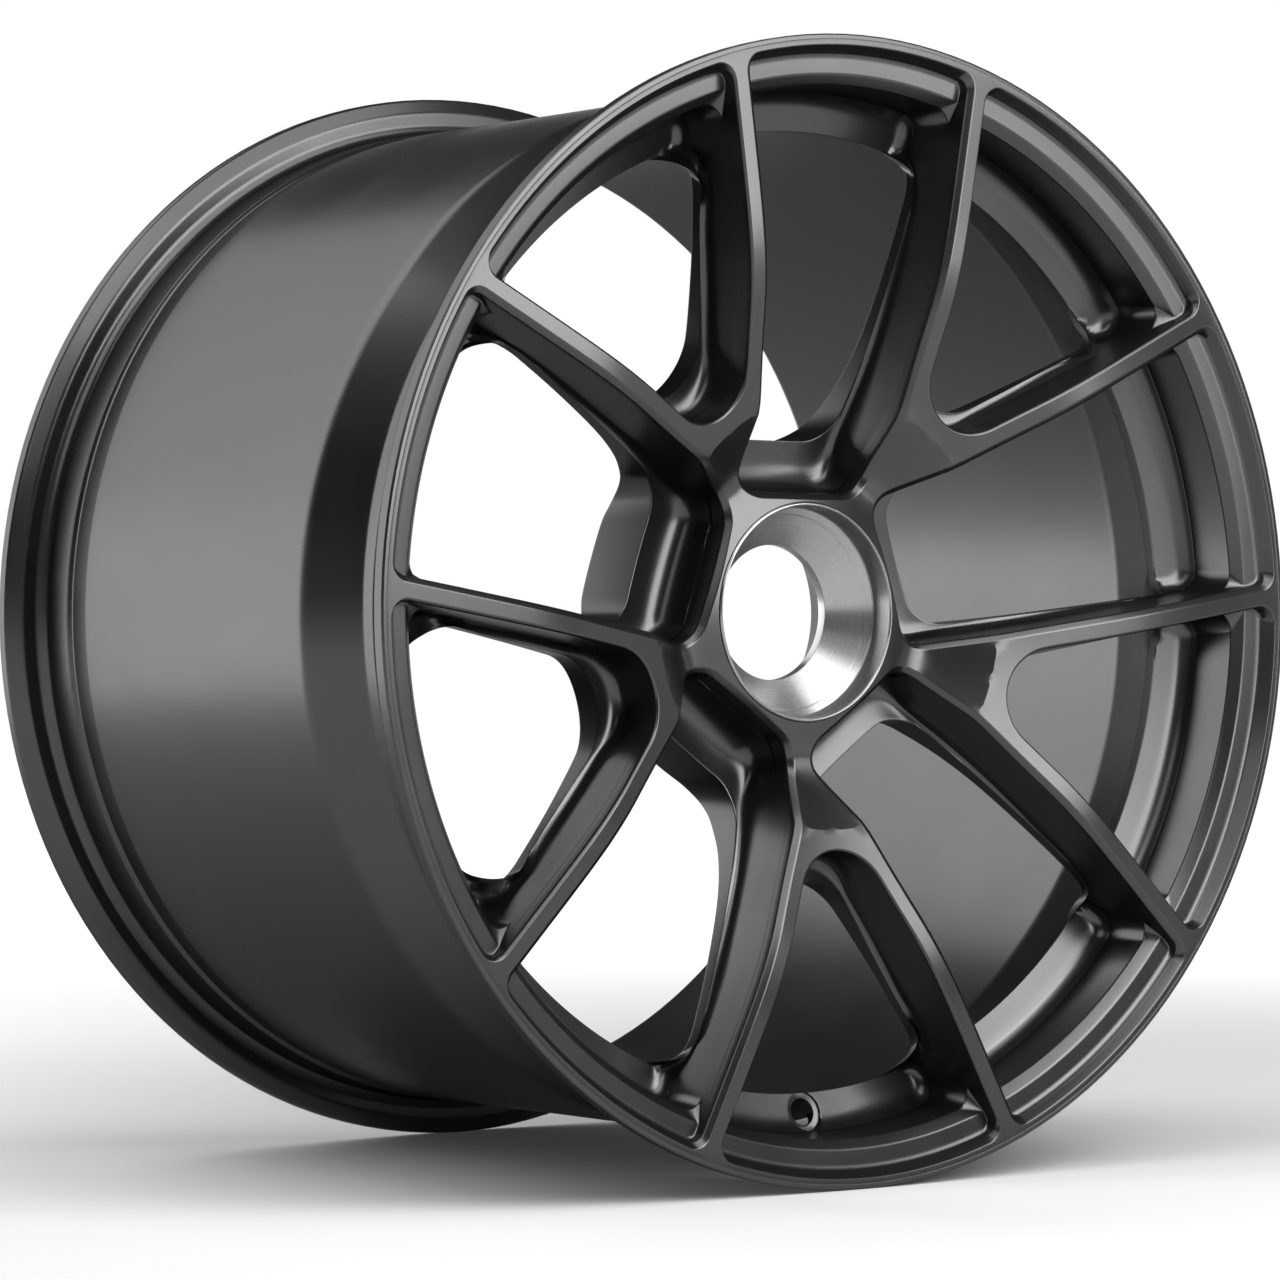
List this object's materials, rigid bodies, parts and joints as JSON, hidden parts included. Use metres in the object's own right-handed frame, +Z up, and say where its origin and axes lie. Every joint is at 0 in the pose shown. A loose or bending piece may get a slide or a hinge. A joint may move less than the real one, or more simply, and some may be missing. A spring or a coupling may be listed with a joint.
{
  "type": "centre-lock racing wheel rim",
  "caption": "Wide forged racing rim with forked slim spokes, a deep barrel with two tyre flanges, and a conical centre-lock nut seat in a hub with drive-pin bushes.",
  "frame": {"origin": "on the spin axis, midway between the two rim lips", "axes": "+Y along the spin axis, towards the car (the open end of the barrel); the spoked front faces -Y; +Z up, with the valve hole straight down"},
  "size_m": [0.5176, 0.3284, 0.5176],
  "materials": {
    "coating": "forged and milled aluminium under a satin black powder coat",
    "bare_metal": "bare aluminium, finely turned",
    "bush_steel": "plated steel, turned"
  },
  "bodies": {
    "root": {"outboard_flange": "coating", "outboard_bead_seat": "coating", "drop_centre": "coating", "barrel_drum": "coating", "inboard_bead_seat": "coating", "inboard_flange": "coating", "hub_front": "coating", "hub_pad": "coating", "seat_ring": "bare_metal", "spoke_shelf_1": "coating", "fork_1": "coating", "tine_1_left": "coating", "tine_1_right": "coating", "drive_bush_1": "bush_steel", "spoke_shelf_2": "coating", "fork_2": "coating", "tine_2_left": "coating", "tine_2_right": "coating", "drive_bush_2": "bush_steel", "spoke_shelf_3": "coating", "fork_3": "coating", "tine_3_left": "coating", "tine_3_right": "coating", "drive_bush_3": "bush_steel", "spoke_shelf_4": "coating", "fork_4": "coating", "tine_4_left": "coating", "tine_4_right": "coating", "drive_bush_4": "bush_steel", "spoke_shelf_5": "coating", "fork_5": "coating", "tine_5_left": "coating", "tine_5_right": "coating", "drive_bush_5": "bush_steel"}
  },
  "joints": []
}
